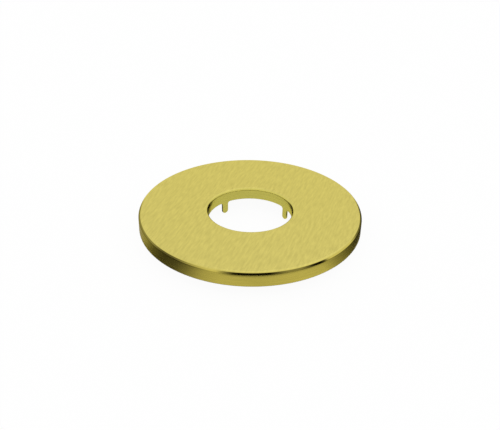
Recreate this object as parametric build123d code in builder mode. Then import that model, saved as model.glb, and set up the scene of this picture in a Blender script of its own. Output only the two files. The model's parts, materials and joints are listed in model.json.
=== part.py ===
"""Pipe escutcheon: a low round cover plate pressed from one brass sheet.

The flat face turns down into a skirt at its rim and into a collar round the pipe. The collar's lower part is cut
back to straight tabs, which pass the skirt, lean in and grip the pipe behind the plate. Their tips stand on z = 0.
"""

import os
from math import hypot

from build123d import *

# Plate, in millimetres, from the face down to the skirt's rim
plate_diameter = 57.15
plate_height = 3.95
sheet = 0.6

# Inside size of the bend at the rim and of the bend at the hole
rim_bend = 0.2
hole_bend = 0.1

# Pipe, and the collar that slides over it, from the face down to the collar's cut edge
pipe_diameter = 21.34
pipe_clearance = 0.2
collar_depth = 3.2

# Tabs, from the collar's cut edge down to their tips, which lean in towards the pipe
tab_length = 3.2
tab_width = 1.75
tab_root = 0.7
tab_lean = 0.1
# They stand in two mirrored pairs, this many degrees between the two of a pair
tab_spread = 95

# A deburred edge loses a quarter of the sheet on either side
deburr = sheet / 4
# How far the cut round the tabs runs past the sheet
cut_room = sheet

# Radii and levels that follow from the sizes above
plate_radius = plate_diameter / 2
skirt_inside = plate_radius - sheet
bore_radius = pipe_diameter / 2 + pipe_clearance
collar_radius = bore_radius + sheet
face_level = tab_length + collar_depth
back_level = face_level - sheet
rim_level = face_level - plate_height

# The sheet starts to lean just above the collar's cut edge, and leans on to where it is drawn, below the tips
lean_level = tab_length + 2 * deburr
drawn_level = -cut_room
drawn_lean = tab_lean * (lean_level - drawn_level) / lean_level


def is_root(edge):
    """True for the corners where a tab's sides meet the collar's cut edge."""
    return abs((edge @ 0.5).Z - tab_length) < deburr and edge.length < 2 * sheet


def is_cut(edge):
    """True for the outline of the collar's cut edge and its tabs, on either side of the sheet."""
    points = [edge @ share for share in (0, 0.5, 1)]
    reaches = [hypot(point.X, point.Y) for point in points]
    follows_wall = max(reaches) - min(reaches) < sheet / 2
    on_collar = max(reaches) < collar_radius + deburr
    below_bend = max(point.Z for point in points) < tab_length + deburr
    return follows_wall and on_collar and below_bend


# The outline of one tab, through the collar on its +X side: straight sides and a full-round tip
with BuildPart() as tab_shape:
    with BuildSketch(Plane.YZ):
        with Locations((0, tab_length)):
            SlotOverall(2 * tab_length, tab_width, rotation=90)
    extrude(amount=collar_radius + 2 * cut_room)

# What is cut away from the collar between and below the tabs
with BuildPart() as tab_gaps:
    with BuildSketch(Plane.XY.offset(drawn_level - cut_room)):
        Circle(collar_radius + cut_room)
        Circle(bore_radius - drawn_lean - cut_room, mode=Mode.SUBTRACT)
    extrude(amount=tab_length - drawn_level + cut_room)
    for side in (-1, 1):
        with PolarLocations(0, 2, start_angle=90 + side * tab_spread / 2):
            add(tab_shape.part, mode=Mode.SUBTRACT)

# The sheet's section, turned round the pipe's axis, with its collar cut back to the tabs
with BuildPart() as escutcheon:
    with BuildSketch(Plane.XZ) as section:
        with BuildLine():
            Polyline(
                (bore_radius - drawn_lean, drawn_level),
                (bore_radius, lean_level),
                (bore_radius, face_level),
                (plate_radius, face_level),
                (plate_radius, rim_level + deburr),
                (plate_radius - deburr, rim_level),
                (skirt_inside + deburr, rim_level),
                (skirt_inside, rim_level + deburr),
                (skirt_inside, back_level - rim_bend),
                (skirt_inside - rim_bend, back_level),
                (collar_radius + hole_bend, back_level),
                (collar_radius, back_level - hole_bend),
                (collar_radius, lean_level),
                (collar_radius - drawn_lean, drawn_level),
                close=True,
            )
        make_face()
        rim_corner = section.vertices().group_by(Axis.Y)[-1].sort_by(Axis.X)[-1]
        fillet(rim_corner, radius=rim_bend + sheet)
        hole_corner = section.vertices().group_by(Axis.Y)[-1].sort_by(Axis.X)[0]
        fillet(hole_corner, radius=hole_bend + sheet)
    revolve(axis=Axis.Z)
    add(tab_gaps.part, mode=Mode.SUBTRACT)
    fillet(escutcheon.edges().filter_by(is_root), radius=tab_root)
    chamfer(escutcheon.edges().filter_by(is_cut), length=deburr)

escutcheon.part.label = "escutcheon"
os.makedirs("parts", exist_ok=True)
export_step(escutcheon.part, "parts/escutcheon.step")
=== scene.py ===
"""Pipe escutcheon in brushed brass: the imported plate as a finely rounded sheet, on a white studio table."""

import json
from math import asin, cos, pi, radians, sin

import bmesh
import bpy
from mathutils import Matrix, Vector


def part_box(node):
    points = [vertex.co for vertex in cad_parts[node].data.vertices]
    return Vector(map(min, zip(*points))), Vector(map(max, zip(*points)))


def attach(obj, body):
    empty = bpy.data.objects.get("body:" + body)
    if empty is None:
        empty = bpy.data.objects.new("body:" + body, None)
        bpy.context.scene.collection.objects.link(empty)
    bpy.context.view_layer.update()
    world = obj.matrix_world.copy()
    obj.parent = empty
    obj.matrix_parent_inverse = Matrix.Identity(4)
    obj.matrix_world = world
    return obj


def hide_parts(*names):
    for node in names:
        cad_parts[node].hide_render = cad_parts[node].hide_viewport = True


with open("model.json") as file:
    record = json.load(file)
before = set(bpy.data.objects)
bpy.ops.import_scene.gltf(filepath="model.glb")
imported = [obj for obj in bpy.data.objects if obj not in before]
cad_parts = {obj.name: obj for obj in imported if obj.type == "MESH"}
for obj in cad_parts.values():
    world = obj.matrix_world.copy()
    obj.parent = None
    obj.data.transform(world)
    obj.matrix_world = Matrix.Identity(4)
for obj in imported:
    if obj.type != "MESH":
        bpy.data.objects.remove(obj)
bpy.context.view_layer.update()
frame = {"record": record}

mounts = {mount["name"]: mount for mount in frame["record"]["mounts"]}
mm = 0.001

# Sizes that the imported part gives, in metres
plate_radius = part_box("escutcheon")[1].x
face_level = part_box("escutcheon")[1].z
rim_level = mounts["wall_rim"]["pos_m"][2]
bore_radius = mounts["pipe_bore"]["dims"]["r_mm"] * mm

# Sizes of the pressed sheet and its tabs
sheet = 0.6 * mm
rim_bend = 0.2 * mm
hole_bend = 0.1 * mm
tab_length = 3.2 * mm
tab_width = 1.75 * mm
tab_root = 0.7 * mm
tab_lean = 0.1 * mm
tab_spread = radians(95)
edge_round = sheet / 4

# Radii, levels and turns that follow from them
skirt_inside = plate_radius - sheet
collar_radius = bore_radius + sheet
back_level = face_level - sheet
lean_level = tab_length + 2 * edge_round
tab_half = tab_width / 2
root_level = tab_length - tab_root
root_reach = tab_half + tab_root
half_spread = tab_spread / 2
tab_turns = [middle + side * half_spread for middle in (pi / 2, 3 * pi / 2) for side in (-1, 1)]

# How finely the round stretches are divided
bend_steps = 14
edge_steps = 5
tip_steps = 9
root_steps = 7
gap_steps = 34
face_rings = 8

# Colours of the brass, in the dark and the light of its grain, and the tint of its grazing mirror. The face's
# paler tone and the collar's lighter tone beside the skirt's are painted light on the one brass sheet
face_brass_painted_paler = [(0.566, 0.493, 0.139, 1), (0.675, 0.589, 0.168, 1)]
collar_brass_painted_lighter = [(0.55, 0.497, 0.1, 1), (0.656, 0.592, 0.121, 1)]
skirt_brass = [(0.564, 0.468, 0.085, 1), (0.672, 0.558, 0.102, 1)]
grazing_tint = (0.95, 0.88, 0.5, 1)

# Grain as (length, width, height) of its strokes; the face's go straight through the sheet
face_stroke = (3.2 * mm, 0.6 * mm, 1.0)
face_stroke_turn = radians(82)
face_stroke_detail = 1.5
wall_stroke = (9.0 * mm, 9.0 * mm, 0.22 * mm)
wall_stroke_detail = 3.0
stroke_sharpness = 0.6
# The grain's values from its dark to its light, and how deep it is
grain_range = (0.3, 0.7)
grain_strength = 0.15
grain_depth = 0.02 * mm

# Roughness in the dark and the light of the grain, and how much more the face has
brushed_roughness = (0.22, 0.30)
face_roughness = 0.06
# Roughness of the polished bends at the hole and at the rim
polished_roughness = (0.14, 0.06)
# The slant at which the polish starts, and at which it is full
polish_range = (0.0005, 0.012)

# The camera, as fitted to the photograph
view_azimuth = radians(9.4)
view_elevation = radians(30.7)
view_roll = radians(0.9655)
view_distance = 195.3 * mm
view_lens = 54.08
view_sensor = 36
view_start = 10 * mm
view_end = 10.0
aim_above_rim = 1.77 * mm
aim_right = -0.037 * mm

# The studio: white room and table, and a lamp placed by degrees to the right of the camera's side
room_strength = 1.0
table_reach = 2.0
table_colour = (0.9, 0.9, 0.9, 1)
lamp_size = 0.8
lamp_power = 0.2
lamp_turn = radians(120)
lamp_reach = 0.25
lamp_level = 0.6
# How much of the table is plain white to each kind of ray; the rest is lit and keeps the shadow
plain_shares = {"Is Camera Ray": 0.95, "Is Transmission Ray": 0.95, "Is Glossy Ray": 0.9}

# How dense the dark veils are, from clear to black, by degrees to the right of the camera's side. The veils
# are painted dark reflections, and under the plate painted shade, that only the metal's mirror sees
table_stops = [
    (-180, 0.3), (-130, 0.3), (-100, 0.55), (-76, 0.58), (-65, 0.87), (-54, 0.945), (-44, 0.91),
    (-36, 0.755), (-26, 0.4), (-16, 0.24), (5, 0.29), (30, 0.18), (44, 0.26), (54, 0.62), (64, 0.81),
    (76, 0.965), (104, 0.97), (125, 0.9), (145, 0.3), (180, 0.3),
]
rim_stops = [
    (-106, 0), (-94, 0.6), (-58, 0.6), (-48, 0.85), (-38.5, 0.8), (-27, 0.3), (-19, 0), (-16.5, 0),
    (-12.5, 0.6), (-7.5, 1), (10.5, 1), (19, 0.65), (26, 0.65), (33, 1), (39.5, 1), (43, 0), (62, 0),
    (71, 0.75), (90, 0.9), (98, 0.85), (110, 0),
]
bend_stops = [(-116, 0), (-104, 0.96), (-80, 0.96), (-70, 0), (70, 0), (80, 0.85), (104, 0.85), (116, 0)]
# Painted shade in the hole, beside the tabs, under the plate and in its hollow, for the under veil
hole_stops = [(-180, 0.16), (180, 0.16)]
tab_stops = [(-180, 0.95), (110, 0.95), (118, 0.2), (160, 0.2), (170, 0.95), (180, 0.95)]
under_stops = [(-180, 0.95), (180, 0.95)]
hollow_stops = [
    (-168, 0), (-160, 0.95), (-128, 0.95), (-118, 0), (-50, 0), (-25, 0.95), (25, 0.95), (50, 0),
    (118, 0), (128, 0.95), (160, 0.95), (168, 0),
]
no_stops = [(-180, 0), (180, 0)]

# The veils, each through rings of (reach, level, stops), and the degrees between their points
veil_level = 0.3 * mm
rim_veil_reach = 30 * mm
bend_veil_reach = 10.85 * mm
veil_step = 2
painted_reflection_black = (0.02, 0.02, 0.02, 1)
veils = {
    # Painted dark reflections on the skirt: dark patches on the table that only mirrors see
    "table_veil": [
        (28.8 * mm, veil_level, table_stops),
        (40 * mm, veil_level, table_stops),
        (60 * mm, veil_level, no_stops),
    ],
    # Painted reflection: the dark line on the rim's bend
    "rim_veil": [
        (rim_veil_reach, 4.2 * mm, no_stops),
        (rim_veil_reach, 4.65 * mm, rim_stops),
        (rim_veil_reach, 7.6 * mm, rim_stops),
        (rim_veil_reach, 8.15 * mm, no_stops),
    ],
    # Painted reflection: the dark ends of the hole's bend
    "bend_veil": [
        (bend_veil_reach, 4.7 * mm, no_stops),
        (bend_veil_reach, 5.4 * mm, bend_stops),
        (bend_veil_reach, 6.25 * mm, bend_stops),
    ],
    # Painted shade: a dark sheet on the table in the hole and under the plate, seen only in mirrors
    "under_veil": [
        (0.1 * mm, veil_level, hole_stops),
        (10.5 * mm, veil_level, hole_stops),
        (11.2 * mm, veil_level, tab_stops),
        (13 * mm, veil_level, tab_stops),
        (14 * mm, veil_level, hollow_stops),
        (23 * mm, veil_level, hollow_stops),
        (25 * mm, veil_level, under_stops),
        (29.2 * mm, veil_level, under_stops),
        (30 * mm, veil_level, no_stops),
    ],
}


def heading(angle, reach):
    """A level vector this long, turned this many radians to the right of the camera's side of the plate."""
    turned = view_azimuth + angle
    return Vector((reach * sin(turned), -reach * cos(turned), 0))


# The shape of the sheet
def arc(centre, radius, start, end, steps):
    """Points (reach, level) along an arc of the section, its angles in degrees from level outward."""
    angles = [radians(start + (end - start) * step / steps) for step in range(steps + 1)]
    return [(centre[0] + radius * cos(angle), centre[1] + radius * sin(angle)) for angle in angles]


def plate_section():
    """The section from the bore's wall over the face and round the skirt to the collar's outer wall."""
    hole_round = hole_bend + sheet
    rim_round = rim_bend + sheet
    face_inner = bore_radius + hole_round
    face_outer = plate_radius - rim_round
    ring = (face_outer - face_inner) / face_rings
    over_face = [(face_inner + ring * count, face_level) for count in range(1, face_rings)]
    return (
        [(bore_radius, lean_level)]
        + arc((face_inner, face_level - hole_round), hole_round, 180, 90, bend_steps)
        + over_face
        + arc((face_outer, face_level - rim_round), rim_round, 90, 0, bend_steps)
        + arc((plate_radius - edge_round, rim_level + edge_round), edge_round, 0, -90, edge_steps)
        + arc((skirt_inside + edge_round, rim_level + edge_round), edge_round, -90, -180, edge_steps)
        + arc((skirt_inside - rim_bend, back_level - rim_bend), rim_bend, 0, 90, edge_steps)
        + arc((collar_radius + hole_bend, back_level - hole_bend), hole_bend, 90, 180, edge_steps)
        + [(collar_radius, lean_level)]
    )


def tab_outline():
    """The collar's cut edge from one gap's middle over a tab to the next, as (side, level, inward, share).

    Side is measured across the tab, inward points from the edge into the sheet, and share is how far along
    the gap a point lies, once past the tab's root.
    """
    tip, root, gap = [], [], []
    for step in range(tip_steps + 1):
        turn = pi / 2 * step / tip_steps
        tip.append((tab_half * sin(turn), tab_half * (1 - cos(turn)), (-sin(turn), cos(turn)), 0))
    for step in range(root_steps + 1):
        turn = pi / 2 * step / root_steps
        side = root_reach - tab_root * cos(turn)
        level = root_level + tab_root * sin(turn)
        root.append((side, level, (-cos(turn), sin(turn)), 0))
    for step in range(1, gap_steps + 1):
        gap.append((root_reach, tab_length, (0, 1), step / gap_steps))
    right = tip + root + gap
    left = [(-side, level, (-inward[0], inward[1]), -share) for side, level, inward, share in right]
    return left[-2:0:-1] + right


def wall_point(tab, place, inset, depth, level=None):
    """A point of the collar's wall: inset from its cut edge, and this deep into the sheet from the bore."""
    _, edge_level, inward, _ = place
    level = edge_level + inset * inward[1] if level is None else level
    lean = tab_lean * max(0, lean_level - level) / lean_level
    reach = bore_radius + depth - lean
    return turned_point(tab, place, inset, reach, level)


def turned_point(tab, place, inset, reach, level):
    """A point at this reach from the axis, on the line through a place of the tab's outline."""
    side, _, inward, share = place
    turn = asin((side + inset * inward[0]) / reach)
    if share:
        between_pair = (tab % 2 == 0) == (share > 0)
        half_gap = half_spread if between_pair else pi / 2 - half_spread
        turn += share * (half_gap - abs(turn))
    turn += tab_turns[tab]
    return Vector((reach * cos(turn), reach * sin(turn), level))


def edge_profile():
    """The rounded cut edge across the sheet, as (inset, depth), from the bore's wall to the outer one."""
    inner = arc((edge_round, edge_round), edge_round, 180, 270, edge_steps)
    outer = arc((sheet - edge_round, edge_round), edge_round, 270, 360, edge_steps)
    return [(inset, depth) for depth, inset in inner + outer]


def is_tip(place):
    """True on the tab's round tip."""
    side, level, _, share = place
    return not share and abs(side) <= tab_half and level <= tab_half


def is_tip_end(place):
    """True where the tab's round tip runs into its straight sides."""
    return abs(abs(place[0]) - tab_half) < edge_round / 100


def join_rows(mesh, row, next_row):
    """Quads between two closed rows of as many points."""
    for index in range(len(row)):
        after = (index + 1) % len(row)
        mesh.faces.new((row[index], row[after], next_row[after], next_row[index]))


def build_sheet(name):
    """The whole pressed sheet as one closed mesh."""
    mesh = bmesh.new()
    places = [(tab, place) for tab in range(len(tab_turns)) for place in tab_outline()]
    count = len(places)
    profile = edge_profile()
    cut = [[mesh.verts.new(wall_point(tab, place, *step)) for step in profile] for tab, place in places]
    on_tip = [is_tip(place) for _, place in places]

    # The lines that run up the wall start on the cut edge, or on the tab at the level of its root
    lines = [index for index in range(count) if not (on_tip[index] and is_tip_end(places[index][1]))]
    lower = {0: {}, -1: {}}
    for wall, depth in ((0, 0.0), (-1, sheet)):
        for index in lines:
            tab, place = places[index]
            if on_tip[index]:
                lower[wall][index] = mesh.verts.new(wall_point(tab, place, edge_round, depth, root_level))
            else:
                lower[wall][index] = cut[index][wall]
    rows = [
        [mesh.verts.new(turned_point(*places[index], edge_round, reach, level)) for index in lines]
        for reach, level in plate_section()
    ]

    # The turned plate, then the walls between it and the cut edge
    for row, next_row in zip(rows, rows[1:]):
        join_rows(mesh, row, next_row)
    join_rows(mesh, [lower[0][index] for index in lines], rows[0])
    join_rows(mesh, rows[-1], [lower[-1][index] for index in lines])

    # The tabs below their roots, on both walls, then the cut edge between the walls
    for index in range(count):
        after = (index + 1) % count
        if on_tip[index] and on_tip[after]:
            for wall in (0, -1):
                first = lower[wall].get(index) or lower[wall][index - 1]
                second = lower[wall].get(after) or lower[wall][(after + 1) % count]
                mesh.faces.new((cut[index][wall], cut[after][wall], second, first))
    for step in range(len(profile) - 1):
        join_rows(mesh, [line[step] for line in cut], [line[step + 1] for line in cut])

    bmesh.ops.recalc_face_normals(mesh, faces=mesh.faces)
    for face in mesh.faces:
        face.smooth = True
    data = bpy.data.meshes.new(name)
    mesh.to_mesh(data)
    mesh.free()
    made = bpy.data.objects.new(name, data)
    bpy.context.scene.collection.objects.link(made)
    made.modifiers.new("even_shading", "WEIGHTED_NORMAL").mode = "FACE_AREA_WITH_ANGLE"
    return made


# Materials
def add_node(tree, kind, inputs=None, **settings):
    """A node with its settings made and its inputs set, or linked where a socket is given."""
    made = tree.nodes.new(kind)
    for key, value in settings.items():
        setattr(made, key, value)
    for key, value in (inputs or {}).items():
        if isinstance(value, bpy.types.NodeSocket):
            tree.links.new(value, made.inputs[key])
        else:
            made.inputs[key].default_value = value
    return made


def work_out(tree, operation, *values):
    """The result of one step of arithmetic."""
    return add_node(tree, "ShaderNodeMath", dict(enumerate(values)), operation=operation).outputs[0]


def spread(tree, value, old_range, new_range):
    """A value taken from its old range to a new one, and held at the ends."""
    ranges = dict(zip(("From Min", "From Max", "To Min", "To Max"), (*old_range, *new_range)))
    return add_node(tree, "ShaderNodeMapRange", {"Value": value, **ranges}).outputs["Result"]


def blend(tree, share, first, second):
    """A number that goes from the first to the second by a share."""
    inputs = {"Factor": share, "A": first, "B": second}
    return add_node(tree, "ShaderNodeMix", inputs, data_type="FLOAT").outputs["Result"]


def blend_colours(tree, share, first, second):
    """A colour that goes from the first to the second by a share."""
    # A Mix node's names stand for its numbers first, so the colours are given by the place of their sockets
    inputs = {"Factor": share, 6: first, 7: second}
    return add_node(tree, "ShaderNodeMix", inputs, data_type="RGBA").outputs[2]


def grain(tree, place, stroke, turn, detail):
    """Strokes of this size, turned from +X by this angle."""
    inputs = {"Vector": place, "Rotation": (0, 0, turn), "Scale": stroke}
    turned = add_node(tree, "ShaderNodeMapping", inputs, vector_type="TEXTURE").outputs[0]
    inputs = {"Vector": turned, "Scale": 1.0, "Detail": detail, "Roughness": stroke_sharpness}
    return add_node(tree, "ShaderNodeTexNoise", inputs).outputs["Fac"]


def new_material(name):
    """An empty node material and its output node."""
    material = bpy.data.materials.new(name)
    material.use_nodes = True
    material.node_tree.nodes.clear()
    return material, add_node(material.node_tree, "ShaderNodeOutputMaterial")


def brass_material():
    """Brushed brass: straight grain on the level faces, level grain round the walls, polished bends."""
    material, output = new_material("brushed_brass")
    tree = material.node_tree
    texture = add_node(tree, "ShaderNodeTexCoord").outputs
    place = texture["Object"]
    upright = add_node(tree, "ShaderNodeSeparateXYZ", {0: texture["Normal"]}).outputs["Z"]
    level_share = work_out(tree, "MULTIPLY", upright, upright)
    distance = add_node(tree, "ShaderNodeVectorMath", {0: place}, operation="LENGTH").outputs["Value"]

    # The grain, with the colours and the roughness that follow it
    face_grain = grain(tree, place, face_stroke, face_stroke_turn, face_stroke_detail)
    wall_grain = grain(tree, place, wall_stroke, 0, wall_stroke_detail)
    streaks = blend(tree, level_share, wall_grain, face_grain)
    light_share = spread(tree, streaks, grain_range, (0, 1))
    # Painted light: the same brass is set lighter on the collar and paler on the face than on the skirt
    collar_colour = blend_colours(tree, light_share, *collar_brass_painted_lighter)
    skirt_colour = blend_colours(tree, light_share, *skirt_brass)
    face_colour = blend_colours(tree, light_share, *face_brass_painted_paler)
    # Painted light: the lighter collar tone fades into the skirt's from the bore out, and the paler face tone
    # takes over where the sheet lies level
    skirt_share = spread(tree, distance, (bore_radius, plate_radius), (0, 1))
    wall_colour = blend_colours(tree, skirt_share, collar_colour, skirt_colour)
    colour = blend_colours(tree, level_share, wall_colour, face_colour)
    wall_roughness = spread(tree, streaks, grain_range, brushed_roughness)
    brushed = work_out(tree, "MULTIPLY_ADD", level_share, face_roughness, wall_roughness)

    # The bends, where the sheet is neither level nor upright, get smoother from the hole to the rim
    upright_share = work_out(tree, "SUBTRACT", 1.0, level_share)
    slant = work_out(tree, "MULTIPLY", upright_share, level_share)
    polish = spread(tree, slant, polish_range, (0, 1))
    polished = spread(tree, distance, (bore_radius, plate_radius), polished_roughness)

    bump = {"Height": streaks, "Strength": grain_strength, "Distance": grain_depth}
    shader = add_node(
        tree,
        "ShaderNodeBsdfPrincipled",
        {
            "Base Color": colour,
            "Metallic": 1.0,
            "Roughness": blend(tree, polish, brushed, polished),
            "Specular Tint": grazing_tint,
            "Normal": add_node(tree, "ShaderNodeBump", bump).outputs["Normal"],
        },
    )
    tree.links.new(shader.outputs[0], output.inputs["Surface"])
    return material


def table_material():
    """White to the camera, through glass and in mirrors, with a small lit share that keeps the shadow."""
    material, output = new_material("white_table")
    tree = material.node_tree
    path = add_node(tree, "ShaderNodeLightPath").outputs
    share = 0.0
    for kind, plain_share in plain_shares.items():
        share = work_out(tree, "MULTIPLY_ADD", path[kind], plain_share, share)
    lit = add_node(tree, "ShaderNodeBsdfDiffuse", {"Color": table_colour}).outputs[0]
    white = add_node(tree, "ShaderNodeEmission", {"Color": (1, 1, 1, 1), "Strength": 1.0}).outputs[0]
    mixed = add_node(tree, "ShaderNodeMixShader", {0: share, 1: lit, 2: white}).outputs[0]
    tree.links.new(mixed, output.inputs["Surface"])
    return material


def veil_material():
    """A black veil, as dense as its own attribute says, for painted dark reflections and painted shade."""
    material, output = new_material("painted_dark_reflection")
    tree = material.node_tree
    density = add_node(tree, "ShaderNodeAttribute", attribute_name="veil_share").outputs["Fac"]
    clear = add_node(tree, "ShaderNodeBsdfTransparent").outputs[0]
    black = add_node(tree, "ShaderNodeBsdfDiffuse", {"Color": painted_reflection_black}).outputs[0]
    mixed = add_node(tree, "ShaderNodeMixShader", {0: density, 1: clear, 2: black}).outputs[0]
    tree.links.new(mixed, output.inputs["Surface"])
    return material


# The studio
def add_card(name, points, faces, material):
    """A stage piece of the given points and faces."""
    data = bpy.data.meshes.new(name)
    data.from_pydata(points, [], faces)
    data.materials.append(material)
    card = bpy.data.objects.new(name, data)
    bpy.context.scene.collection.objects.link(card)
    return card


def density_at(stops, angle):
    """The density that a row of (degrees, density) stops gives at an angle, none beyond its ends."""
    for (start, first), (end, second) in zip(stops, stops[1:]):
        if start <= angle <= end:
            return first + (second - first) * (angle - start) / (end - start)
    return 0.0


def add_veil(name, rings):
    """A dark veil round the plate that only mirrors see, as painted reflection and painted shade, through
    rings of (reach, level, stops).
    """
    turns = range(-180, 181, veil_step)
    points, densities = [], []
    for reach, level, stops in rings:
        for angle in turns:
            points.append(heading(radians(angle), reach) + Vector((0, 0, level)))
            densities.append(density_at(stops, angle))
    faces = []
    for ring in range(len(rings) - 1):
        for step in range(len(turns) - 1):
            first = ring * len(turns) + step
            faces.append((first, first + 1, first + 1 + len(turns), first + len(turns)))
    veil = add_card(name, points, faces, veil_material())
    veil.data.attributes.new("veil_share", "FLOAT", "POINT").data.foreach_set("value", densities)
    veil.visible_camera = False
    veil.visible_diffuse = False
    veil.visible_shadow = False
    veil.visible_transmission = False


def light_studio():
    """A white room, a white table, one large soft lamp, and dark veils that paint dark reflections and shade
    into the metal's mirror.
    """
    scene = bpy.context.scene
    scene.view_settings.view_transform = "Standard"
    scene.world = bpy.data.worlds.new("white_room")
    scene.world.use_nodes = True
    room = scene.world.node_tree.nodes["Background"]
    room.inputs["Color"].default_value = (1, 1, 1, 1)
    room.inputs["Strength"].default_value = room_strength

    signs = [(-1, -1), (1, -1), (1, 1), (-1, 1)]
    corners = [(across * table_reach, along * table_reach, 0) for across, along in signs]
    add_card("table", corners, [(0, 1, 2, 3)], table_material())

    lamp = bpy.data.lights.new("soft_lamp", "AREA")
    lamp.shape = "DISK"
    lamp.size = lamp_size
    lamp.energy = lamp_power
    holder = bpy.data.objects.new("soft_lamp", lamp)
    holder.location = heading(lamp_turn, lamp_reach) + Vector((0, 0, lamp_level))
    holder.rotation_euler = holder.location.to_track_quat("Z", "Y").to_euler()
    scene.collection.objects.link(holder)

    for name, rings in veils.items():
        add_veil(name, rings)


def place_camera():
    """The photograph's view of the plate."""
    right = Vector((cos(view_azimuth), sin(view_azimuth), 0))
    back = heading(0, cos(view_elevation)) + Vector((0, 0, sin(view_elevation)))
    up = back.cross(right)
    target = Vector((0, 0, rim_level)) + aim_above_rim * up + aim_right * right
    data = bpy.data.cameras.new("camera")
    data.lens = view_lens
    data.sensor_width = view_sensor
    data.clip_start = view_start
    data.clip_end = view_end
    camera = bpy.data.objects.new("camera", data)
    turned = Matrix((right, up, back)).transposed().to_4x4()
    rolled = Matrix.Rotation(view_roll, 4, "Z")
    camera.matrix_world = Matrix.Translation(target + view_distance * back) @ turned @ rolled
    bpy.context.scene.collection.objects.link(camera)
    bpy.context.scene.camera = camera


plate = build_sheet("brass_plate")
plate.data.materials.append(brass_material())
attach(plate, "root")
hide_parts("escutcheon")
light_studio()
place_camera()
